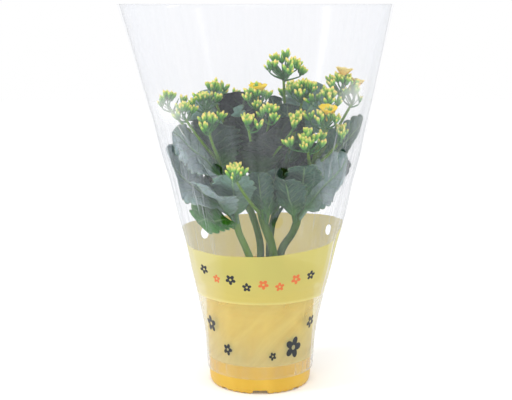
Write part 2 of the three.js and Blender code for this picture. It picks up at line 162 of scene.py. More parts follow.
def pot_surface(around=720):
    """The pot's profile, radius and height, turned round the axis. Eight notches, wide
    and narrow by turns, raise the points of its outer side, the first 14 rows, to their
    tops, and forty ripples of 0.7 mm run round its lowest edge."""
    profile = np.array([
        [0, 4.0], [20, 4.0], [36, 4.0], [39, 4.0], [41.2, 3.8], [42.4, 0.3],
        [POT_FOOT_RADIUS, 0],
        [45.0, 0.5], [45.8, 1.4], [46.4, 3.2], [46.75, 5.2], [47.0, 8], [47.4, 20],
        [48.2, 40], [49.1, 60], [49.9, 78], [50.5, 92], [50.65, 95.4], [51.2, 96.0],
        [53.6, 96.3], [54.2, 96.8], [54.5, 98.5], [54.75, 101], [POT_RIM_RADIUS, 103.6],
        [54.7, 104.6], [54.0, POT_HEIGHT], [52.9, POT_HEIGHT], [52.2, 104.6],
        [51.6, 103], [50.2, 97.4], [49.3, 94], [47.6, 60], [46.0, 20],
        [45.4, 7.4], [44.2, 6.0], [42.3, 5.4], [20, 5.4], [0, 5.4],
    ])
    turn = full_turn(around)[None]
    radius, height = profile[:, :1], profile[:, 1:]
    eighth = np.round((turn + np.pi / 2) / (np.pi / 4))
    off = np.abs(turn + np.pi / 2 - eighth * np.pi / 4) * POT_FOOT_RADIUS
    wide = eighth % 2 == 0
    half = np.where(wide, *NOTCH_HALF_WIDTHS)
    lift = 1 - smoothstep(half - 1.1, half + 1.1, off)
    top = np.where(wide, NOTCH_HEIGHT, 0.55 * NOTCH_HEIGHT)
    ripple = 0.35 * (1 + np.cos(40 * turn)) * (1 - smoothstep(0, 4, height))
    height = height + np.where(radius > 41, ripple, 0)
    outer = (radius > 40) & (np.arange(len(profile))[:, None] < 14)
    height = np.where(outer, np.maximum(height, lift * top), height)
    return grid(xyz(radius * np.cos(turn), radius * np.sin(turn), height))


# Polypropylene, moulded and pigmented golden yellow: satin, slightly translucent, with
# an orange-peel skin of 0.7 mm and faint flow marks up the wall, 25 mm wide.
pot_plastic, add = new_material("moulded_yellow_polypropylene")
where = add("TexCoord").outputs["Object"]
flow = add("Mapping", where, Scale=(40, 40, 6))
marks = add("TexNoise", flow, Scale=1.0, Detail=3.0)
tint = add("ValToRGB", marks, stops=((0.3, "#C9A02A"), (0.75, "#D6AE3C")))
skin = add("TexNoise", where, Scale=1400.0, Detail=2.0)
peel = add("Bump", Strength=0.06, Distance=0.0004, Height=skin)
plastic = add(
    "BsdfPrincipled", Roughness=0.38, IOR=1.49, Subsurface_Weight=0.12, Subsurface_Scale=0.002,
    Base_Color=tint, Normal=peel,
)
add("OutputMaterial", plastic)
as_piece("pot_shell", [pot_surface()], pot_plastic, "pot")

# The soil is dark moist peat with a few pale perlite grains, filled to 10 mm under the
# rim. Its surface is crumbly, and loose crumbs lie on it.
SOIL_LEVEL = 95


def soil_waves(x, y):
    """Two crossing waves of 0.7 mm, 20 and 17 mm long."""
    return 0.7 * (np.sin(0.31 * x + 1) + np.cos(0.37 * y))


def soil_surface(around=144):
    """A cake of soil: its side follows the pot's wall, and its top is a disc of rings
    raised by the waves and by noise of up to 1 mm, and sinks by 1.5 mm at the wall."""
    radii = np.array([0, 30, 44.2, 45.3, 47.6, 48.3, *np.linspace(48, 0, 46)])
    height = np.array([5.8, 5.8, 8.5, 12, 60, 92, *np.full(46, SOIL_LEVEL)])
    turn = full_turn(around)
    x, y = radii[:, None] * np.cos(turn), radii[:, None] * np.sin(turn)
    top = np.arange(len(radii))[:, None] > 5
    fine = 0.5 * np.sin(1.9 * x + 1.3 * np.sin(1.1 * y)) * np.sin(1.7 * y + np.cos(1.3 * x))
    deal = np.random.default_rng(5)
    rough = deal.uniform(-0.35, 0.35, x.shape) * smoothstep(0, 6, radii)[:, None]
    edge = 1 - smoothstep(44, 48, radii)[:, None]
    raised = top * (edge * (soil_waves(x, y) + fine + rough) - 1.5 * (1 - edge))
    return grid(xyz(x, y, height[:, None] + raised))


def crumbs(count, low, high, tone, seed):
    """Lumps scattered on the soil: each is a ball of 5 rings by 6 points, stretched
    along three axes and made uneven by random amounts, and turned about the vertical."""
    deal = np.random.default_rng(seed)
    theta = np.linspace(0, np.pi, 5)[:, None]
    phi = full_turn(6)[None]
    ball = xyz(np.sin(theta) * np.cos(phi), -np.sin(theta) * np.sin(phi), np.cos(theta))
    parts = []
    for _ in range(count):
        size = deal.uniform(low, high) * deal.uniform(0.6, 1.2, 3)
        spin, reach = deal.uniform(0, 2 * np.pi), 45 * np.sqrt(deal.uniform())
        flat = ball * size * deal.uniform(0.8, 1.2, ball.shape[:2])[..., None]
        x = flat[..., 0] * np.cos(spin) - flat[..., 1] * np.sin(spin)
        y = flat[..., 0] * np.sin(spin) + flat[..., 1] * np.cos(spin)
        heart = np.array([reach * np.cos(spin * 7.7), reach * np.sin(spin * 7.7), 0])
        ground = SOIL_LEVEL + soil_waves(heart[0], heart[1])
        points = xyz(x, y, flat[..., 2] + ground) + heart
        points[0], points[-1] = points[0].mean(0), points[-1].mean(0)
        parts.append(grid(points, tone=tone + deal.uniform(-0.1, 0.1)))
    return parts


# Peat: matt, very dark brown, lighter where it has dried, in grains of 2 mm. Perlite is
# matt and off-white.
peat, add = new_material("moist_peat_with_perlite")
where = add("TexCoord").outputs["Object"]
grain = add("TexNoise", where, Scale=420.0, Detail=6.0, Roughness=0.7)
tone = add("Attribute", attribute_name="tone").outputs["Fac"]
earth = add("ValToRGB", grain, stops=((0.35, "#1E140D"), (0.7, "#4A3524")))
pick = add("MapRange", tone, 0.5, 0.7)
blend = add("Mix RGBA", pick, earth, "#D8D2C4")
crumble = add("Bump", Strength=0.8, Distance=0.001, Height=grain)
matt = add("BsdfPrincipled", Roughness=0.92, Base_Color=blend, Normal=crumble)
add("OutputMaterial", matt)
cake = [soil_surface(), *crumbs(420, 0.5, 1.7, 0.1, 6), *crumbs(26, 0.6, 1.3, 1.0, 7)]
as_piece("peat_soil", cake, peat, "potting_soil")

# The stems are five fleshy green shoots that rise from one clump. Each is a little
# swollen at its leaf joints and thins towards the flowers.

# Each stem has a radius and the points that its axis passes through.
STEMS = {
    "left": (3.8, [
        (-9, -6, 76), (-7.8, -8, 98), (-7.6, -9, 112), (-13, -9, 127),
        (-19.5, -8, 142), (-23, -8, 158), (-29, -6, 182), (-35, -4, 205),
    ]),
    "centre": (4.4, [
        (10, -8, 70), (13, -9, 98), (13.2, -9.5, 114), (10, -9, 132),
        (3.5, -8, 150), (-1, -6, 168), (-2, -4, 185), (-2, -2, 200),
    ]),
    "right": (4.2, [
        (19, 4, 76), (18, 2, 98), (17.6, 0.5, 112), (21, -4, 127),
        (30, -8, 142), (36, -8, 160), (42, -6, 182), (48, -2, 205),
    ]),
    "inner": (3.8, [
        (-1.5, 9, 76), (0, 7, 98), (0.4, 6, 124), (-2.5, 9, 140),
        (-8, 14, 156), (-13, 18, 174), (-18, 24, 205),
    ]),
    "back": (3.8, [
        (8, 12, 76), (8.6, 8, 98), (8.8, 7, 124), (10.5, 12, 140),
        (14, 20, 155), (20, 28, 180), (26, 30, 208),
    ]),
}
# A stem's skin tone: 0 is dark green, 1 is the fresh green of the stalks.
STEM_TONES = {"left": 0.9, "centre": 0.45, "right": 0.3, "inner": 0.4, "back": 0.1}
# Leaves of each stem: height of the joint, direction seen from above (0 to the right
# and -90 to the front), mean rise, arch, length, width and roll, in mm and degrees.
LEAVES = {
    "left": [
        (148, -142, 10, 16, 46, 52, -25), (156, -176, 43, -14, 94, 44, -42),
        (150, -142, 42, 10, 62, 50, -12), (182, -164, 46, 8, 74, 44, -50),
        (190, -126, 62, 8, 66, 50, 0), (170, -156, 52, 6, 54, 36, -30),
        (149, -95, 50, 8, 69, 41, 0),
    ],
    "centre": [
        (152, -98, 54, 8, 62, 24, 0), (180, -110, 66, 6, 76, 60, 0),
        (176, -46, 62, 8, 84, 58, 0), (186, 58, 56, 6, 44, 36, 0),
        (146, -66, 68, 4, 62, 24, 0), (139, -26, 62, 4, 32, 8, 0),
    ],
    "right": [
        (149, -106, 49, 8, 62, 30, 0), (150, -22, 50, 6, 82, 42, 76),
        (184, 2, 46, 6, 86, 38, 34), (168, -90, 46, 8, 56, 36, 0),
        (166, 30, 32, 14, 74, 46, 0),
    ],
    "inner": [
        (152, 125, 26, 14, 72, 50, 0), (168, 168, 36, 14, 78, 48, -30),
        (188, 118, 50, 10, 74, 50, 0), (203, 160, 55, 8, 76, 50, -45),
        (204, 78, 76, 4, 64, 50, 0),
    ],
    "back": [
        (156, 24, 54, 10, 76, 48, 0), (170, 96, 44, 12, 70, 46, 0),
        (186, 40, 55, 10, 76, 50, 0), (203, 150, 74, 6, 62, 34, 0),
        (200, -88, 69, 6, 62, 34, 0), (201, 2, 64, 6, 80, 50, 55),
    ],
}
# Flower heads: the stem each grows from, the height where its stalk leaves the stem,
# its hub, its reach and about how many buds it carries.
HEADS = [
    ("left", 205, (-81, -2, 254), 15, 22), ("left", 204, (-66, -24, 247), 14, 22),
    ("left", 205, (-50, -4, 253), 16, 30), ("inner", 205, (-42, 14, 262), 15, 28),
    ("left", 200, (-45, -42, 238), 16, 28), ("centre", 200, (-2, -22, 258), 18, 34),
    ("back", 208, (21, 2, 281), 24, 42), ("centre", 198, (8, -42, 248), 13, 22),
    ("back", 208, (38, -8, 264), 17, 32), ("right", 205, (59, -16, 256), 17, 32),
    ("right", 205, (73, 8, 268), 16, 30), ("right", 204, (84, 13, 258), 14, 24),
    ("right", 203, (57, -38, 242), 16, 32), ("right", 198, (41, -50, 222), 19, 38),
    ("centre", 199, (29, -38, 240), 12, 20), ("right", 200, (69, -32, 227), 14, 16),
    ("centre", 158, (-21, -64, 199), 12, 26), ("centre", 198, (-10, -45, 240), 12, 20),
    ("inner", 205, (-36, 58, 254), 16, 28), ("back", 208, (33, 52, 257), 16, 28),
]
PEDUNCLE_RADIUS = 1.8
UP = np.array([0, 0, 1.0])


def smooth_path(knots, count):
    """A Catmull-Rom curve through the knots: each span is the cubic that leaves and
    enters its ends along the line between their neighbours."""
    knots = np.asarray(knots, float)
    before, after = 2 * knots[:1] - knots[1:2], 2 * knots[-1:] - knots[-2:-1]
    padded = np.concatenate([before, knots, after])
    at = np.linspace(0, len(knots) - 1, count)
    i = np.minimum(at.astype(int), len(knots) - 2)
    t = (at - i)[:, None]
    a, b, c, d = (padded[i + k] for k in range(4))
    square, cube = 2 * a - 5 * b + 4 * c - d, 3 * b - a - 3 * c + d
    return 0.5 * (2 * b + (c - a) * t + square * t**2 + cube * t**3)


def unit(vectors):
    """A vector, or each of many, divided by its length."""
    return vectors / np.linalg.norm(vectors, axis=-1, keepdims=True)


def tube(path, radius, around, **marks):
    """A round tube: rings of around points square to the path, each at its radius,
    with both ends drawn to a point."""
    along = unit(np.gradient(path, axis=0))
    guide = np.array([1.0, 0, 0]) if abs(along[:, 0]).max() < 0.9 else np.array([0, 1.0, 0])
    side = unit(guide - along * (along @ guide)[:, None])
    across = np.cross(along, side)
    path, side, across = (np.concatenate([v[:1], v, v[-1:]]) for v in (path, side, across))
    radius = np.pad(np.broadcast_to(radius, len(path) - 2), 1)
    turn = full_turn(around)[None, :, None]
    ring = side[:, None] * np.cos(turn) + across[:, None] * np.sin(turn)
    return grid(path[:, None] + radius[:, None, None] * ring, **marks)


def stem_point(stem, height):
    """The point of a stem's axis at a height, on the straight line between knots."""
    knots = np.array(STEMS[stem][1], float)
    return np.array([np.interp(height, knots[:, 2], knots[:, k]) for k in range(3)])


def bowed(start, pull, end, count):
    """A quadratic curve from start to end, which leaves and enters them towards pull."""
    t = np.linspace(0, 1, count)[:, None]
    return (1 - t) ** 2 * start + 2 * t * (1 - t) * pull + t**2 * end


def stalk_path(stem, height, hub):
    """A head's stalk from the stem to the hub, which sags by 4 % of the distance
    between them, as its pull is 8 % of that under their middle."""
    root, top = stem_point(stem, height), np.array(hub, float)
    sag = 0.08 * np.linalg.norm(top - root) * UP
    return bowed(root, 0.5 * (root + top) - sag, top, 14)


def stem_parts(stem):
    """The stem and the stalks that leave it. The stem's radius falls by 35 % to its
    tip and swells by 12 % in a 5 mm bell round each leaf joint. Stalks thin to 62 %."""
    radius, knots = STEMS[stem]
    path = smooth_path(knots, 90)
    share = np.linspace(0, 1, 90)
    joints = np.array([leaf[0] for leaf in LEAVES[stem]])
    swell = np.exp(-(((path[:, 2:] - joints) / 5) ** 2)).max(1)
    thick = radius * (1 - 0.35 * share) * (1 + 0.12 * swell)
    parts = [tube(path, thick, 20, tone=STEM_TONES[stem])]
    for root_stem, height, hub, _, _ in HEADS:
        if root_stem == stem:
            thin = PEDUNCLE_RADIUS * np.linspace(1, 0.62, 14)
            parts.append(tube(stalk_path(stem, height, hub), thin, 10, tone=0.8))
    return parts


# Stem skin: smooth and fleshy with a low shine, dark to mid green in soft patches about
# 10 mm across, with fine lengthwise lines. Some stems and the flower stalks are paler.
stem_skin, add = new_material("fleshy_green_stem_skin")
where = add("TexCoord").outputs["Object"]
tone = add("Attribute", attribute_name="tone").outputs["Fac"]
patches = add("TexNoise", where, Scale=90.0, Detail=4.0)
green = add("ValToRGB", patches, stops=((0.3, "#12300C"), (0.72, "#345C1A")))
skin_tone = add("Mix RGBA", tone, green, "#6C9234")
stretch = add("Mapping", where, Scale=(700, 700, 60))
lines = add("TexNoise", stretch, Scale=1.0, Detail=2.0)
ribs = add("Bump", Strength=0.25, Distance=0.0005, Height=lines)
flesh = add(
    "BsdfPrincipled", Roughness=0.42, Specular_IOR_Level=0.12, Subsurface_Weight=0.15,
    Subsurface_Scale=0.003, Base_Color=skin_tone, Normal=ribs,
)
add("OutputMaterial", flesh)
for stem in STEMS:
    as_piece(f"stem_{stem}", stem_parts(stem), stem_skin, f"leafy_stem_{stem}")

# The leaves are thick, waxy and egg-shaped, with rounded teeth. They grew on the stems
# and rise round them, and those that meet the film are pressed in by it. So the film's
# form is worked out here.
# Each leaf's tone: 0 is dark slate, 0.76 a pale grey-green and 1 a fresh green. The
# near-black tones of the leaves deep inside are painted shade, and the palest tones are
# partly a painted highlight.
LEAF_TONES_AND_SHADE = {
    "left": (1.0, 0.7, 0.7, 0.76, 0.15, 0.74, 0.6),
    "centre": (0.38, 0.03, 0.0, 0.05, 0.36, 0.3),
    "right": (0.34, 0.7, 0.44, 0.4, 0.3),
    "inner": (0.15, 0.3, 0.1, 0.6, 0.05),
    "back": (0.2, 0.1, 0.2, 0.3, 0.36, 0.55),
}
PETIOLE_RADIUS = 2.3
PETIOLE_SHARE = 0.2
# About the highest value that a leaf's outline reaches, before it is given its width.
OUTLINE_PEAK = 0.4869
PRESSED_FROM = 0.86
SLEEVE_TAPER = 0.237
SLEEVE_TOP = 347
SLEEVE_HALF_WIDTH = 68
SLEEVE_WIDTH_AT = 125
SLEEVE_ROOM = 1.5


def sleeve_half_width(z):
    """The larger of the cone and of the pot's wall plus its room, rounded where they
    meet by a 3 mm hyperbola."""
    cone = SLEEVE_HALF_WIDTH + SLEEVE_TAPER * (z - SLEEVE_WIDTH_AT)
    lean = (POT_TOP_RADIUS - POT_LOW_RADIUS) * np.minimum(z, 60) / POT_HEIGHT
    hug = POT_LOW_RADIUS + lean + SLEEVE_ROOM
    return 0.5 * (cone + hug + np.hypot(cone - hug, 3))


def sleeve_half_depth(z):
    """The half width, flattened by up to 17 % towards the mouth."""
    return sleeve_half_width(z) * (1 - 0.17 * smoothstep(60, SLEEVE_TOP, z))


def sleeve_centre(z):
    """The sleeve's middle line: 1 mm to the right at height 150, then bowing to 4 mm
    to the left at the mouth."""
    return np.where(z < 150, z / 150, 1 - 5 * ((z - 150) / (SLEEVE_TOP - 150)) ** 2)


def pressed_inside(points, margin):
    """Points past 86 % of the way to their limit, which is a margin within the film,
    are drawn back by a tanh, so that none passes it."""
    x, y, z = points[..., 0], points[..., 1], points[..., 2]
    across = (x - sleeve_centre(z)) / (sleeve_half_width(z) - margin)
    deep = np.abs(y) / (sleeve_half_depth(z) - margin)
    reach = np.maximum(np.hypot(across, deep**0.9), 1e-6)
    past, room = reach - PRESSED_FROM, 1 - PRESSED_FROM
    scale = np.where(past < 0, 1, (PRESSED_FROM + room * np.tanh(past / room)) / reach)
    return xyz(sleeve_centre(z) + (x - sleeve_centre(z)) * scale, y * scale, z)


def both_faces(u):
    """Columns that cross a blade by u on its upper face and come back on its lower
    one: their places across it, and 1 above, 0 at the edges and -1 below."""
    face = np.repeat([1.0, -1.0], [len(u), len(u) - 2])
    face[[0, len(u) - 1]] = 0
    return np.concatenate([u, u[-2:0:-1]]), face


def leaf_part(stem, leaf, tone, seed, rows=112):
    """A leaf lofted along its midrib, which leaves the joint at its direction and
    rises by rise + arch (1 - 2s). The half width is the outline t^0.6 (1 - t)^0.45,
    cut into ten rounded lobes a side by |sin|^0.55. The blade is folded up from the
    midrib as a soft V, buckled, quilted between its veins, and waved and curled
    towards its edge. It is grooved over the midrib, 2 mm thick there and 0.6 mm near
    the edge, and thinner towards the tip."""
    height, direction, rise, arch, length, width, roll = leaf
    deal = np.random.default_rng(seed)
    s = np.linspace(0, 1, rows)
    up, heading = np.radians(rise + arch * (1 - 2 * s)), np.radians(direction)
    along = xyz(np.cos(up) * np.cos(heading), np.cos(up) * np.sin(heading), np.sin(up))
    steps = 0.5 * (along[1:] + along[:-1]) * length / (rows - 1)
    spine = stem_point(stem, height) + np.concatenate([[[0, 0, 0]], np.cumsum(steps, 0)])
    level = xyz(-np.sin(heading), np.cos(heading), 0)
    above = np.cross(along, level)
    lean = np.radians(roll)
    side = level * np.cos(lean) + above * np.sin(lean)
    normal = above * np.cos(lean) - level * np.sin(lean)
    t = np.clip((s - PETIOLE_SHARE) / (1 - PETIOLE_SHARE), 0, 1)[:, None]
    u = np.linspace(1, -1, 19)
    w, face = both_faces(np.sign(u) * np.abs(u) ** 1.25)
    w = w[None]
    far = np.abs(w)
    petiole = (0.5 if width < 20 else 1) * PETIOLE_RADIUS
    lobes = np.abs(np.sin(np.pi * (10 * t**0.85 + deal.uniform() + 0.45 * (w > 0)))) ** 0.55
    scallop = 1.04 - 0.2 * (1 - lobes) * smoothstep(0.06, 0.22, t)
    outline = 0.5 * width * t**0.6 * (1 - t) ** 0.45 / OUTLINE_PEAK
    half = np.maximum(petiole * np.sqrt(np.clip(1 - t**8, 0, 1)), outline * scallop)
    blade = smoothstep(0.0, 0.14, t)
    round_edge = np.sqrt(np.clip(1 - far**2, 0, 1))
    flat_edge = (0.32 + 0.68 * (1 - far) ** 0.8) * (1 - far**12)
    thick = (1 - blade) * petiole * round_edge + blade * flat_edge * (0.6 + 0.4 * (1 - t))
    phase = deal.uniform(0, 2 * np.pi, 5)
    broad = np.minimum(half, 0.5 * width)
    beats = 2 * np.pi * (2.4 - 0.4 * (w > 0)) * t + phase[0] + phase[1] * (w > 0)
    wave = deal.uniform(0.07, 0.13) * broad * np.sin(beats) * far**2
    buckle = 0.07 * broad * np.sin(2 * np.pi * (1.5 * t + 0.35 * w) + phase[2])
    quilt = 0.8 * np.sin(2 * np.pi * (8 * t**0.85 - 1.6 * far) + phase[3]) * far * (1 - far**4)
    fold = deal.uniform(0.12, 0.32) * broad * (np.sqrt(far**2 + 0.01) - 0.1)
    curl = 0.25 * broad * smoothstep(0.55, 1, far) * np.sin(2 * np.pi * 0.8 * t + phase[4])
    lift = blade * (fold + wave + buckle + quilt + curl)
    groove = blade * 0.45 * np.exp(-((far / 0.07) ** 2)) * (face < 0.5)
    spread = side[:, None] * (half * w)[..., None] + normal[:, None] * lift[..., None]
    skin = normal[:, None] * (face * (thick + groove))[..., None]
    points = pressed_inside(spine[:, None] + spread, 3.0) + skin
    return grid(points, across=w, along=t, under=0.5 - 0.5 * face, tone=tone)


# Kalanchoe leaf: dark grey-green above under a thin waxy bloom, paler below, greener
# round the midrib towards its stalk, and painted near black as shade on leaves deep
# inside. The midrib is pale, the side veins are faint, the rim is painted lighter as a
# highlight, and soft mottling is 2 to 20 mm across.
leaf_skin, add = new_material("waxy_kalanchoe_leaf")
where = add("TexCoord").outputs["Object"]
across, along, under, tone = (
    add("Attribute", attribute_name=name).outputs["Fac"]
    for name in ("across", "along", "under", "tone")
)
broad = add("TexNoise", where, Scale=45.0, Detail=3.0)
fine = add("TexNoise", where, Scale=420.0, Detail=4.0)
patchy = add("Math MULTIPLY_ADD", broad, 0.3, -0.15)
shade = add("Math ADD", patchy, tone)
# The ramp runs from near black, painted shade for leaves deep inside, through a pale grey-green
# that is partly a painted highlight, to fresh green.
greens_and_shade = (
    (0.0, "#020302"), (0.25, "#1B332A"), (0.45, "#3F6252"), (0.6, "#6A8B7E"),
    (0.76, "#A0ADB4"), (0.88, "#4F8440"), (1.0, "#2F6F14"),
)
skin = add("ValToRGB", shade, stops=greens_and_shade)
turned = add("Math MULTIPLY", under, 0.1)
mixed = add("Mix RGBA", turned, skin, "#8DA391")
off = add("Math ABSOLUTE", across)
rib = add("MapRange", off, 0.02, 0.07, 0.6, 0.0)
slope = add("Math MULTIPLY_ADD", off, -0.22, along)
pairs = add("Math MULTIPLY", slope, 44.0)
wave = add("Math SINE", pairs)
vein = add("MapRange", wave, 0.9, 1.0, 0.0, 0.4)
fade = add("MapRange", off, 0.85, 0.45)
side_vein = add("Math MULTIPLY", vein, fade)
# A lighter rim round each leaf's edge: a painted highlight.
rim = add("MapRange", off, 0.9, 1.0, 0.0, 0.5)
drawn = add("Math MAXIMUM", rib, side_vein)
pale = add("Math MAXIMUM", drawn, rim)
# Pale marks are dimmed on the leaves that are painted dark as shade.
shade_dimming = add("MapRange", tone, 0.0, 0.4, 0.25, 1.0)
pale = add("Math MULTIPLY", pale, shade_dimming)
veined = add("Mix RGBA", pale, mixed, "#8FB37C")
inward = add("MapRange", along, 0.42, 0.0, 0.0, 0.75)
core = add("MapRange", off, 0.9, 0.1, 0.35, 1.0)
fresh = add("Math MULTIPLY", inward, core)
greener = add("Mix RGBA", fresh, veined, "#4C8C1C")
speck = add("MapRange", fine, 0.35, 0.7, 0.82, 1.12)
colour = add("VectorMath SCALE", greener, speck)
relief = add("Math MULTIPLY_ADD", drawn, -2.0, fine)
bumps = add("Bump", Strength=0.8, Distance=0.001, Height=relief)
wax = add(
    "BsdfPrincipled", Roughness=0.42, Specular_IOR_Level=0.05, Coat_Weight=0.02,
    Coat_Roughness=0.25, Subsurface_Weight=0.04, Subsurface_Scale=0.002,
    Base_Color=colour, Normal=bumps,
)
add("OutputMaterial", wax)
for number, (stem, leaves) in enumerate(LEAVES.items()):
    blades = [
        leaf_part(stem, leaf, shade, 40 + 10 * number + k)
        for k, (leaf, shade) in enumerate(zip(leaves, LEAF_TONES_AND_SHADE[stem]))
    ]
    as_piece(f"leaves_{stem}", blades, leaf_skin, f"leafy_stem_{stem}")

# The flower heads are loose domes of buds, grown at the ends of the stalks. Each bud is a
# pointed urn on a thin stalk of its own, green where its four sepals hold it and pale
# yellow at its closed petals.
HUB_RADIUS = 2.5
BUD_LENGTH = 8.8
BUD_RADIUS = 1.5


def bud_shape():
    """A bud of unit length along +Z: its radius swells at the sepals, narrows above
    them, swells again and closes to a point. Its section is slightly four-sided."""
    heights = np.array([0, 0.03, 0.16, 0.3, 0.4, 0.56, 0.72, 0.86, 0.95, 1.0])
    radii = np.array([0, 0.5, 0.86, 0.84, 0.78, 1.0, 0.95, 0.66, 0.34, 0.0])
    turn = full_turn(8)
    square = 1 + 0.07 * np.cos(4 * turn)
    ring = xyz(np.cos(turn) * square, np.sin(turn) * square, 0)
    return heights, radii, ring


def directions(axis, polar, azimuth):
    """Unit vectors at a polar angle from the axis and an azimuth round it."""
    axis = unit(axis)
    guide = np.array([1.0, 0, 0]) if abs(axis[0]) < 0.8 else np.array([0, 1.0, 0])
    side = unit(guide - axis * (axis @ guide))
    other = np.cross(axis, side)
    flat = side * np.cos(azimuth)[..., None] + other * np.sin(azimuth)[..., None]
    return axis * np.cos(polar)[..., None] + flat * np.sin(polar)[..., None]


def bract_part(root, way, length, width):
    """A narrow bract: a blade whose half width follows sin(pi t^0.8), which curves up by
    a quarter of its length, is folded a little along its middle and 0.6 mm thick."""
    t = np.linspace(0, 1, 14)
    side = unit(np.cross(way, UP))
    normal = np.cross(side, way)
    w, face = both_faces(np.linspace(1, -1, 5))
    half = 0.5 * width * np.sin(np.pi * np.clip(t, 0.02, 0.995) ** 0.8) + 0.15
    spine = root + way * (length * t)[:, None] + 0.25 * UP * (length * t**2)[:, None]
    lift = 0.3 * half[:, None] * np.abs(w) + 0.3 * face
    points = spine[:, None] + side * (half[:, None] * w)[..., None] + normal * lift[..., None]
    return grid(points, rise=0.0, tone=0.0)


def fan_parts(root, fork, outward, buds, deal):
    """A branch that leaves its root outward and bends up to its fork, and the buds on
    it: one in the middle and the rest in a ring, 20 to 35 degrees from an axis that
    leans outward."""
    heights, radii, ring = bud_shape()
    elbow = 0.5 * (root + fork) + outward * 0.22 * np.linalg.norm(fork - root)
    branch = bowed(root, elbow, fork, 7)
    parts = [tube(branch, np.linspace(0.95, 0.6, 7), 6, tone=0.0, rise=0.08)]
    b = np.arange(buds)
    splay = np.where(b == 0, 0.1, 0.48) + deal.uniform(-0.14, 0.14, buds)
    azimuth = 2 * np.pi * b / max(buds - 1, 1) + deal.uniform(0, 0.7, buds)
    leans = directions(0.3 * outward + UP, splay, azimuth)
    sizes = deal.uniform(0.68, 1.12, buds)
    stalks = deal.uniform(0.8, 3.2, buds)
    ages = deal.uniform(0, 1, buds)
    for z, size, stalk, age in zip(leans, sizes, stalks, ages):
        foot = fork + z * stalk
        x = unit(np.cross(z, [0.3, 0.9, 0.2]))
        turned = ring[:, :1] * x + ring[:, 1:2] * np.cross(z, x)
        core = heights[:, None, None] * BUD_LENGTH * z
        skin = radii[:, None, None] * BUD_RADIUS * turned
        parts.append(grid(foot + size * (core + skin), rise=heights[:, None], tone=age))
        floret_stalk = fork + (foot + z * 0.3 - fork) * np.linspace(0, 1, 4)[:, None]
        parts.append(tube(floret_stalk, 0.45, 5, tone=0.0, rise=0.1))
    return parts


def head_frame(stem, height, hub):
    """A head's stalk, the stalk's direction at the hub, the head's axis, which is that
    direction drawn upright, and its heart, just over the hub."""
    way = stalk_path(stem, height, hub)
    tangent = unit(way[-1] - way[-2])
    axis = unit(tangent * 0.4 + 0.6 * UP)
    return way, tangent, axis, way[-1] + tangent * (HUB_RADIUS + 0.3)


def head_parts(number, stem, height, hub, reach, count):
    """A head in two tiers. The upper branches part at its heart and the lower ones leave
    the stalk 3 to 9 mm under it, each with a narrow bract. All end in a fan of buds."""
    deal = np.random.default_rng(300 + number)
    way, tangent, axis, heart = head_frame(stem, height, hub)
    knob = np.stack([way[-1], heart, heart + tangent * 1.5])
    parts = [tube(knob, [1.15, 1.6, 1.0], 8, tone=0.0, rise=0.0)]
    upper, lower = max(3, round(count / 7)), max(2, round(count / 9))
    spread = np.radians(50) * reach / 16
    for k in range(upper):
        aim = directions(axis, spread * np.sqrt((k + 0.2) / upper), 2.4 * k + number)
        fork = heart + aim * (reach - 0.95 * BUD_LENGTH - 2) * deal.uniform(0.75, 1.15)
        outward = aim - axis * (aim @ axis)
        parts += fan_parts(heart, fork, outward, int(deal.integers(4, 7)), deal)
    for k in range(lower):
        below = heart - tangent * deal.uniform(3, 9)
        outward = directions(axis, np.pi / 2, 2.6 * k + 0.25 + 0.3 * number)
        fork = below + outward * reach * deal.uniform(0.5, 0.8) + axis * deal.uniform(3, 9)
        parts += fan_parts(below, fork, outward, int(deal.integers(3, 7)), deal)
        slope = unit(0.75 * outward + 0.66 * axis)
        parts.append(bract_part(below, slope, 0.75 * reach, 0.011 * reach**2))
    for part in parts:
        part["points"] = pressed_inside(part["points"], 2.0)
    return parts


# Bud skin: smooth and faintly waxy. Green sepals pass through yellow-green to pale
# yellow at the tip, and each bud is a little more or less ripe.
bud_skin, add = new_material("kalanchoe_bud_skin")
where = add("TexCoord").outputs["Object"]
rise, tone = (
    add("Attribute", attribute_name=name).outputs["Fac"] for name in ("rise", "tone")
)
mottle = add("TexNoise", where, Scale=600.0, Detail=3.0)
shift = add("MapRange", tone, 0.0, 1.0, -0.08, 0.14)
ripe = add("Math ADD", rise, shift)
uneven = add("Math MULTIPLY_ADD", mottle, 0.16, ripe)
ripening = (
    (0.1, "#2A6820"), (0.4, "#3A8422"), (0.64, "#62A62E"),
    (0.84, "#A0C440"), (0.96, "#D8D65C"), (1.0, "#EED670"),
)
skin = add("ValToRGB", uneven, stops=ripening)
grain = add("Bump", Strength=0.2, Distance=0.0003, Height=mottle)
soft = add(
    "BsdfPrincipled", Roughness=0.48, Subsurface_Weight=0.2, Subsurface_Scale=0.0015,
    Base_Color=skin, Normal=grain,
)
add("OutputMaterial", soft)
for number, head in enumerate(HEADS, 1):
    buds = head_parts(number, *head)
    as_piece(f"buds_{number:02d}", buds, bud_skin, f"flower_head_{number:02d}")

# Four flowers are open. Each grew from a bud of its head, with a thin tube and four
# soft petals that rise into a wide cup and are pointed at their tips.

# Each has the number of its head, its height over the hub and its tone, from 0 for
# gold to 1 for peach.
OPEN_FLOWERS = [(6, 9, 0.0), (13, 8, 0.0), (11, 12, 0.8), (12, 12, 0.6)]
PETAL_REACH = 8.6
PETAL_HALF_WIDTH = 5.4


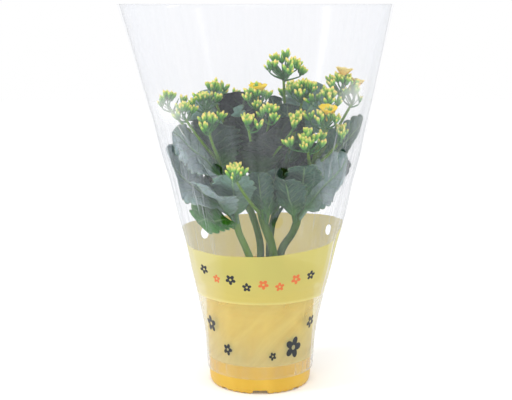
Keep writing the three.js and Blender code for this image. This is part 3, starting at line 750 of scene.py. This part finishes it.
def petal_part(heart, axis, quarter, tone, seed):
    """A petal on a grid: it runs out to the reach and rises by 9.5 t - 2 t^3 mm, its
    half width is the outline sin(pi t^1.3)^0.6, it is cupped across by the square of
    the distance from its middle, and it is 0.5 mm thick."""
    deal = np.random.default_rng(seed)
    t = np.linspace(0, 1, 13)
    w, face = both_faces(np.linspace(1, -1, 9))
    half = PETAL_HALF_WIDTH * np.sin(np.pi * t**1.3) ** 0.6 + 0.9 * (1 - t)
    half[-1] = 0.02
    out_way = directions(axis, np.pi / 2, quarter * np.pi / 2 + 0.3)
    side = np.cross(axis, out_way)
    rise = 9.5 * t - 2.0 * t**3 + 0.3 * np.sin(5 * t + deal.uniform(0, 6))
    cup = 0.9 * (w**2)[None] * (half / 3.3)[:, None]
    lift = rise[:, None] + cup + face[None] * 0.25 * (half > 0.1)[:, None]
    spread = side * (half[:, None] * w)[..., None] + axis * lift[..., None]
    points = heart + out_way * (PETAL_REACH * t)[:, None, None] + spread
    return grid(pressed_inside(points, 1.6), along=t[:, None], across=w, tone=tone)


# Petal tissue: satin and slightly translucent, golden yellow or pale peach, painted a
# little deeper towards the throat as shade in the cup, and with faint lines along it.
petal_skin, add = new_material("satin_kalanchoe_petal")
along, across, tone = (
    add("Attribute", attribute_name=name).outputs["Fac"]
    for name in ("along", "across", "tone")
)
# Both colours deepen towards the throat: painted shade in the cup.
gold = add("ValToRGB", along, stops=((0.0, "#FFD400"), (0.5, "#FFE400")))
peach = add("ValToRGB", along, stops=((0.0, "#FFD878"), (0.6, "#FFF0B4")))
tissue = add("Mix RGBA", tone, gold, peach)
streak = add("Math MULTIPLY", across, 26.0)
lines = add("Math SINE", streak)
grooves = add("Bump", Strength=0.2, Distance=0.0003, Height=lines)
satin = add(
    "BsdfPrincipled", Roughness=0.5, Specular_IOR_Level=0.15,
    Base_Color=tissue, Normal=grooves,
)
lit_through = add("BsdfTranslucent", Color=tissue)
petal = add("MixShader", 0.3, satin, lit_through)
add("OutputMaterial", petal)
for number, (head, distance, tone) in enumerate(OPEN_FLOWERS, 1):
    _, _, axis, root = head_frame(*HEADS[head - 1][:3])
    way = root + axis * np.linspace(2.8, distance + 0.4, 8)[:, None]
    throat = tube(way, np.linspace(0.6, 1.3, 8), 8, along=0.0, tone=tone)
    heart = root + axis * distance
    petals = [petal_part(heart, axis, q, tone, 900 + 10 * number + q) for q in range(4)]
    flower = [throat, *petals]
    as_piece(f"flower_{number}", flower, petal_skin, f"open_flower_{number:02d}")

# The sleeve is a cone of clear polypropylene film, welded along both sides and open at
# top and bottom. It is punched with vents, and printed with a pale yellow band at the
# pot's rim and with plain flowers on the front.
SLEEVE_FOOT = 15
FILM_THICKNESS = 0.12
FILM_CELL = 1.65
VENT_RADIUS = 5
# How much a row of vents fans for each degree round the sleeve.
VENT_FAN = 0.3
# Each row of vents: its height in the middle, and the angles in degrees of its vents
# from the middle of the front face and of the back face.
VENT_ROWS = [
    (206, (-55, -25, 12, 50), (-50, -12, 25, 55)),
    (163, (-23, 10, 42), (-42, -10, 23)),
    (120, (), (-64, 51)),
]


def sleeve_point(angle, z, inset):
    """A point of the film: an ellipse of the half width and half depth at its height,
    with its sine raised to a power a little over 1, which draws both seams to an edge."""
    sine = np.sin(angle)
    power = 1 + 0.12 * smoothstep(60, 200, z)
    x = sleeve_centre(z) + (sleeve_half_width(z) - inset) * np.cos(angle)
    y = (sleeve_half_depth(z) - inset) * np.sign(sine) * np.abs(sine) ** power
    return xyz(x, y, z)


def creases(angle, z):
    """How far the film stands out from its plain form: broad and narrow folds that fan
    up from the pot and grow calmer towards the mouth, the narrow ones beside the seams,
    slack ripples above the rim, and tight rings round it."""
    free = smoothstep(70, 150, z)
    broad = 0.8 * np.sin(9 * angle + 0.012 * z + 1.1 * np.sin(3 * angle))
    broad = broad * free * (1 - 0.5 * smoothstep(230, SLEEVE_TOP, z))
    narrow = 0.38 * np.sin(23 * angle + 0.02 * z + 2 * np.sin(2 * angle + 1))
    narrow = narrow * free * (1 - 0.8 * smoothstep(200, 280, z)) * np.cos(angle) ** 2
    slack = 0.35 * np.sin(0.11 * z + 3 * np.cos(2 * angle))
    slack = slack * smoothstep(80, 120, z) * (1 - smoothstep(220, 300, z))
    tight = 0.1 * np.sin(0.9 * z + 1.5 * np.sin(3 * angle))
    tight = tight * smoothstep(60, 76, z) * (1 - smoothstep(96, 112, z))
    return broad + narrow + slack + tight


def vents():
    """Angle and height of each vent. A row lies straight on the flat film, so on the
    cone it rises from its middle as slant (1 / cos(angle fan) - 1)."""
    found = []
    for middle, front, back in VENT_ROWS:
        slant = middle + SLEEVE_HALF_WIDTH / SLEEVE_TAPER - SLEEVE_WIDTH_AT
        for angle, face in [(a, -90) for a in front] + [(a, 90) for a in back]:
            rise = slant * (1 / np.cos(np.radians(angle) * VENT_FAN) - 1)
            found.append((np.radians(angle + face), middle + rise))
    return found


def film_heights():
    """The heights of the film's rows of points: 4 mm apart where it is plain, and
    closer at the rings over the pot's rim and at the rows of vents."""
    spans = (
        (SLEEVE_FOOT, 60, 4), (60, 128, 1.3), (128, 156, 2.5), (156, 177, 1.25),
        (177, 200, 2.5), (200, 228, 1.25), (228, SLEEVE_TOP, 4),
    )
    rows = [np.linspace(low, high, 1 + round((high - low) / step)) for low, high, step in spans]
    return np.unique(np.concatenate(rows))


def film_part(around=312):
    """The film as one closed sheet: the outer face on a grid of angle and height, the
    inner face a film's thickness within it. Faces inside a vent are left out of both,
    and the points within about a cell of its circle are moved onto it."""
    z, angle = np.meshgrid(film_heights(), full_turn(around), indexing="ij")
    open_point = np.zeros(z.shape, bool)
    for vent_angle, vent_z in vents():
        here, beside = (
            sleeve_point(np.array(vent_angle + step), np.array(vent_z), 0) for step in (0, 0.01)
        )
        swing = (angle - vent_angle + np.pi) % (2 * np.pi) - np.pi
        flat = np.hypot(swing * np.linalg.norm(beside - here) / 0.01, z - vent_z)
        open_point |= flat < VENT_RADIUS - FILM_CELL
        near = (flat >= VENT_RADIUS - FILM_CELL) & (flat < VENT_RADIUS + 0.3 * FILM_CELL)
        push = np.where(near, VENT_RADIUS / np.maximum(flat, 1e-6), 1)
        angle = np.where(near, vent_angle + swing * push, angle)
        z = np.where(near, vent_z + (z - vent_z) * push, z)
    outer = sleeve_point(angle, z, -creases(angle, z)).reshape(-1, 3)
    inner = sleeve_point(angle, z, FILM_THICKNESS - creases(angle, z)).reshape(-1, 3)
    quads = woven(*z.shape)
    kept = quads[~open_point.reshape(-1)[quads].any(1)]
    sides = np.stack([kept, np.roll(kept, -1, 1)], -1).reshape(-1, 2)
    total = z.size
    code = np.sort(sides, 1) @ np.array([total, 1])
    _, first, times = np.unique(code, return_index=True, return_counts=True)
    rim = sides[first[times == 1]]
    walls = np.stack([rim[:, 1], rim[:, 0], rim[:, 0] + total, rim[:, 1] + total], -1)
    used = np.unique(kept)
    renumber = np.full(2 * total, -1)
    renumber[np.concatenate([used, used + total])] = np.arange(2 * len(used))
    quads = renumber[np.concatenate([kept, kept[:, ::-1] + total, walls])]
    points = np.concatenate([outer[used], inner[used]])
    from_front = (angle + 1.5 * np.pi) % (2 * np.pi) - np.pi
    turn = np.tile(from_front.reshape(-1)[used], 2)
    return {"points": points, "quads": quads, "turn": turn, "seam": 0.0}


def seam_part(face):
    """A welded seam: a strip of doubled film that stands out about 2 mm from the side
    along the whole sleeve, less where the film hugs the pot, slightly wavy."""
    z = film_heights()
    wide = np.array([0.0, 0.7, 1.4, 2.1])
    w = np.concatenate([wide, wide[::-1]])
    thick = np.repeat([-0.5 * FILM_THICKNESS, 0.5 * FILM_THICKNESS], 4)
    angle = np.array(0.0 if face > 0 else np.pi)
    base = sleeve_point(angle, z, -creases(angle, z))
    folded = 0.3 + 0.7 * smoothstep(84, 120, z)[:, None]
    x = base[:, 0, None] + face * w * folded * (1 - 0.25 * np.sin(0.05 * z)[:, None])
    y = 0.5 * np.sin(0.045 * z + face)[:, None] * w + thick * face
    strip = grid(xyz(x, y, z[:, None]), turn=1.57 * face, seam=1.0)
    caps = np.array([[0, 1, 6, 7], [1, 2, 5, 6], [2, 3, 4, 5]])
    strip["quads"] = np.concatenate([strip["quads"], caps[:, ::-1], caps + 8 * (len(z) - 1)])
    return strip


# Plain five-petalled flowers printed on the front: the angle round the sleeve, the
# height and radius in metres, and the ink. Small ones stand in a wavy row across the
# band, and larger ones low down, where the film meets the pot.
PRINTS = [
    (-0.88, 0.1150, 0.0046, "#22262E"), (-0.66, 0.1085, 0.0040, "#E2753C"),
    (-0.43, 0.1095, 0.0048, "#22262E"), (-0.20, 0.1035, 0.0042, "#22262E"),
    (0.03, 0.1065, 0.0046, "#E2753C"), (0.26, 0.1040, 0.0042, "#E2753C"),
    (0.50, 0.1095, 0.0048, "#E2753C"), (0.75, 0.1110, 0.0044, "#22262E"),
    (-0.98, 0.0620, 0.0080, "#1C242C"), (-0.62, 0.0410, 0.0058, "#1C242C"),
    (0.62, 0.0430, 0.0105, "#1C242C"), (0.98, 0.0640, 0.0064, "#1C242C"),
    (0.22, 0.0370, 0.0042, "#1C242C"),
]
# The sleeve's radius at the flowers.
PRINT_RADIUS = 0.062

# Places high on both sides where the slack film is creased and milky and catches the
# light, painted as a white highlight: the angle round the sleeve, the height, the half
# length and half width in metres, and the tilt.
CREASE_SHEENS = [
    (-0.94, 0.256, 0.040, 0.024, 0.0), (-0.80, 0.242, 0.018, 0.0018, -56.0),
    (0.92, 0.271, 0.034, 0.022, 0.0),
]
# The sleeve's radius at those places.
CREASE_SHEEN_RADIUS = 0.092

# The heights where the band and its veil end, and the angle of a fold's pale line of
# painted glare.
BAND_FOOT = 0.087
VEIL_FOOT = 0.026
FOLD_GLARE_AT = 1.2

# Clear oriented polypropylene film: high gloss, with a faint milky haze that deepens
# where it is seen edge-on, with painted glints of crinkles and milky creases with
# painted highlights at its sides. The band's ink is matt pale yellow, painted warmer and
# darker inside as shade, and thins to a veil over the pot. Heights are in metres here.
film, add = new_material("clear_printed_polypropylene_film")
where = add("TexCoord").outputs["Object"]
turn, margin = (
    add("Attribute", attribute_name=name).outputs["Fac"] for name in ("turn", "seam")
)
height = add("SeparateXYZ", where).outputs["Z"]
frontness = add("Math COSINE", turn)
rightness = add("Math SINE", turn)
on_circle = add("CombineXYZ", rightness, height, frontness)
# The band's top edge steps up from the front to the back, dips in the middle of the
# back and rises a little to the right.
eased = {"interpolation_type": "SMOOTHSTEP"}
shoulder = add("MapRange", frontness, 0.42, -0.08, 0.137, 0.1488, **eased)
hollow = add("MapRange", frontness, 0.0, -1.0, 0.0, -0.0085)
raised = add("Math ADD", shoulder, hollow)
leaning = add("Math MULTIPLY_ADD", rightness, 0.003, raised)
band_top = add("Math MULTIPLY_ADD", frontness, -0.0046, leaning)
under_top = add("Math LESS_THAN", height, band_top)
over_foot = add("Math GREATER_THAN", height, BAND_FOOT)
band = add("Math MULTIPLY", under_top, over_foot)
solid_ink = add("Math MULTIPLY", band, 0.86)
# Below the band the ink is a veil, drawn out into slanting folds 22 mm apart, whose
# paler and deeper streaks are a painted sheen.
slant = add("Math MULTIPLY_ADD", rightness, -0.06, height)
aslant = add("CombineXYZ", slant, rightness, frontness)
drawn_out = add("Mapping", aslant, Scale=(46.0, 1.3, 1.3))
folds = add("TexNoise", drawn_out, Scale=1.0, Detail=3.0, Distortion=0.5)
fold_sheen = add("MapRange", folds, 0.3, 0.7, 0.85, 1.15)
veil = add("MapRange", height, BAND_FOOT, 0.03, 0.36, 0.5)
below = add("Math LESS_THAN", height, BAND_FOOT)
above = add("MapRange", height, VEIL_FOOT, VEIL_FOOT + 0.0015)
for share in (fold_sheen, below, above):
    veil = add("Math MULTIPLY", veil, share)
ink = add("Math MAXIMUM", solid_ink, veil)
ink = add("Math SUBTRACT", ink, margin, use_clamp=True)
# The haze is deeper at a grazing view and cloudy, in streaks 110 mm high and 10 mm
# wide, which also stand as a painted sheen. Below the mouth at the sides it has painted
# glints of crinkles, 60 mm high and 3 mm wide.
edge = add("LayerWeight", Blend=0.25)
grazing = add("MapRange", edge.outputs["Facing"], 0.1, 0.9, 0.088, 0.34)
spaced = add("Mapping", on_circle, Scale=(9.0, 9.0, 9.0))
clouds = add("TexNoise", spaced, Scale=1.0, Detail=3.0, Distortion=0.6)
cloud_and_sheen = add("MapRange", clouds, 0.4, 0.75, 0.85, 1.6)
stretch = add("Mapping", on_circle, Scale=(34.0, 16.0, 34.0))
crinkles = add("TexNoise", stretch, Scale=1.0, Detail=3.0, Distortion=1.4)
painted_glint = add("MapRange", crinkles, 0.57, 0.68, 0.0, 0.34)
to_side = add("MapRange", frontness, 0.92, 0.75)
low_enough = add("MapRange", height, 0.26, 0.235)
for share in (to_side, low_enough):
    painted_glint = add("Math MULTIPLY", painted_glint, share)
haze = add("Math MULTIPLY_ADD", grazing, cloud_and_sheen, painted_glint)
cover = add("Math MAXIMUM", ink, haze)
# The ink's colour goes up the sleeve by its stops, then is painted warmer and darker
# inside as shade, paler on the left as a painted highlight, and grey along a fold as
# painted glare. Where there is no ink, the haze is bluish white.
shades = ((0.03, "#CDD2AE"), (0.06, "#E4E2A0"), (0.0868, "#E8E49C"), (0.088, "#D6CC70"))
inks = add("ValToRGB", height, stops=shades)
# Painted shade: the back of the band, seen from inside, is mixed warmer and darker.
back_in_shade = add("MapRange", frontness, 0.1, -0.1, 0.0, 0.62)
# Painted highlight: the ink is mixed paler on the left side.
left_glare = add("MapRange", rightness, -0.48, -0.93, 0.0, 0.3)
# Painted glare: a pale grey line along a fold of the film.
from_fold_glare = add("Math SUBTRACT", turn, FOLD_GLARE_AT)
from_fold_glare = add("Math ABSOLUTE", from_fold_glare)
fold_glare = add("MapRange", from_fold_glare, 0.06, 0.02, 0.0, 0.65)
for share, hue in ((back_in_shade, "#DCC038"), (left_glare, "#F2EEDC"), (fold_glare, "#E6E0DE")):
    inks = add("Mix RGBA", share, inks, hue)
inked = add("Math GREATER_THAN", ink, 0.2)
paint = add("Mix RGBA", inked, "#D8DDE6", inks)
unrolled = add("Math MULTIPLY", turn, CREASE_SHEEN_RADIUS)
flat = add("CombineXYZ", unrolled, height)
# Each crease is mixed to near white: partly its milkiness, partly a painted highlight.
for around, up, long, thin, tilt in CREASE_SHEENS:
    place, lie, size = (CREASE_SHEEN_RADIUS * around, up, 0), (0, 0, np.radians(tilt)), (long, thin, 1)
    patch = add("Mapping", flat, place, lie, size, vector_type="TEXTURE")
    away = add("VectorMath LENGTH", patch)
    milk_and_sheen = add("MapRange", away, 1.1, 0.0, **eased)
    thick = add("Math MULTIPLY", milk_and_sheen, 0.46)
    cover = add("Math MAXIMUM", cover, thick)
    paint = add("Mix RGBA", milk_and_sheen, paint, "#FAFAFC")
# A printed flower is where the distance from its heart is under (1 + |cos 2.5 angle|) / 2
# of its radius, and over the 22 % that is its open eye.
for around, up, size, hue in PRINTS:
    offset = -PRINT_RADIUS * around
    u = add("Math MULTIPLY_ADD", turn, PRINT_RADIUS, offset)
    v = add("Math SUBTRACT", height, up)
    spot = add("CombineXYZ", u, v)
    distance = add("VectorMath LENGTH", spot)
    bearing = add("Math ARCTAN2", v, u)
    half_five = add("Math MULTIPLY_ADD", bearing, 2.5, 20 * around)
    swell = add("Math COSINE", half_five)
    lobe = add("Math ABSOLUTE", swell)
    bound = add("Math MULTIPLY_ADD", lobe, 0.5 * size, 0.5 * size)
    within = add("Math LESS_THAN", distance, bound)
    eye = add("Math GREATER_THAN", distance, 0.22 * size)
    mark = add("Math MULTIPLY", within, eye)
    paint = add("Mix RGBA", mark, paint, hue)
    cover = add("Math MAXIMUM", cover, mark)
coat = add("BsdfPrincipled", Roughness=0.4, IOR=1.49, Base_Color=paint)
glow = add("BsdfTranslucent", Color=paint)
milk = add("MixShader", 0.3, coat, glow)
clear = add("BsdfTransparent", Color="#FDFDFE")
sheet = add("MixShader", cover, clear, milk)
gloss = add("BsdfGlossy", Roughness=0.12)
shine = add("Fresnel", IOR=1.22)
coated = add("MixShader", shine, sheet, gloss)
# The film is far thinner than its mesh, so the face turned away from the eye is air.
back = add("NewGeometry").outputs["Backfacing"]
air = add("BsdfTransparent")
shell = add("MixShader", back, coated, air)
add("OutputMaterial", shell)
sleeve_parts = [film_part(), seam_part(-1), seam_part(1)]
as_piece("printed_film_sleeve", sleeve_parts, film, "film_sleeve")

# A plain pale floor, soft studio light from a white surround and large lamps, and the
# camera where the photograph's was: a metre away, looking down by ten degrees.
bpy.ops.mesh.primitive_plane_add(size=6)
floor = bpy.context.object
floor.name = "floor"
paper, add = new_material("matt_white_paper")
matt = add(
    "BsdfPrincipled", Base_Color="#FBFBFB", Roughness=0.9,
    Emission_Color=(1, 1, 1, 1), Emission_Strength=0.06,
)
add("OutputMaterial", matt)
floor.data.materials.append(paper)

world = bpy.data.worlds.new("white_surround")
world.use_nodes = True
world.node_tree.nodes["Background"].inputs["Color"].default_value = (1, 1, 1, 1)
world.node_tree.nodes["Background"].inputs["Strength"].default_value = 1.0
bpy.context.scene.world = world
# Each lamp is turned to the plant's middle.
PLANT_MIDDLE = (0, 0, 0.17)
for name, place, width, length, power in (
    ("left_strip", (-1.25, -0.55, 0.75), 0.16, 1.1, 7),
    ("right_strip", (1.2, -0.8, 0.6), 0.12, 1.0, 3),
    ("front_top", (-0.2, -1.2, 1.5), 0.8, 0.6, 5),
):
    lamp = bpy.data.objects.new(name, bpy.data.lights.new(name, "AREA"))
    lamp.data.shape, lamp.data.energy = "RECTANGLE", power
    lamp.data.size, lamp.data.size_y = width, length
    lamp.location = place
    x, y, z = unit(np.subtract(place, PLANT_MIDDLE))
    lamp.rotation_euler = (np.arccos(z), 0, np.arctan2(y, x) + np.pi / 2)
    bpy.context.scene.collection.objects.link(lamp)

FOCAL_LENGTH_PX = 1098
PICTURE_WIDTH_PX = 512
SENSOR_WIDTH = 36
LOOKS_DOWN = 10.07
camera = bpy.data.objects.new("camera", bpy.data.cameras.new("camera"))
camera.location = (-0.00375, -0.99, 0.346)
camera.rotation_euler = (np.radians(90 - LOOKS_DOWN), 0, 0)
camera.data.sensor_width = SENSOR_WIDTH
camera.data.lens = FOCAL_LENGTH_PX / PICTURE_WIDTH_PX * SENSOR_WIDTH
bpy.context.scene.collection.objects.link(camera)
bpy.context.scene.camera = camera
bpy.context.scene.view_settings.view_transform = "Standard"
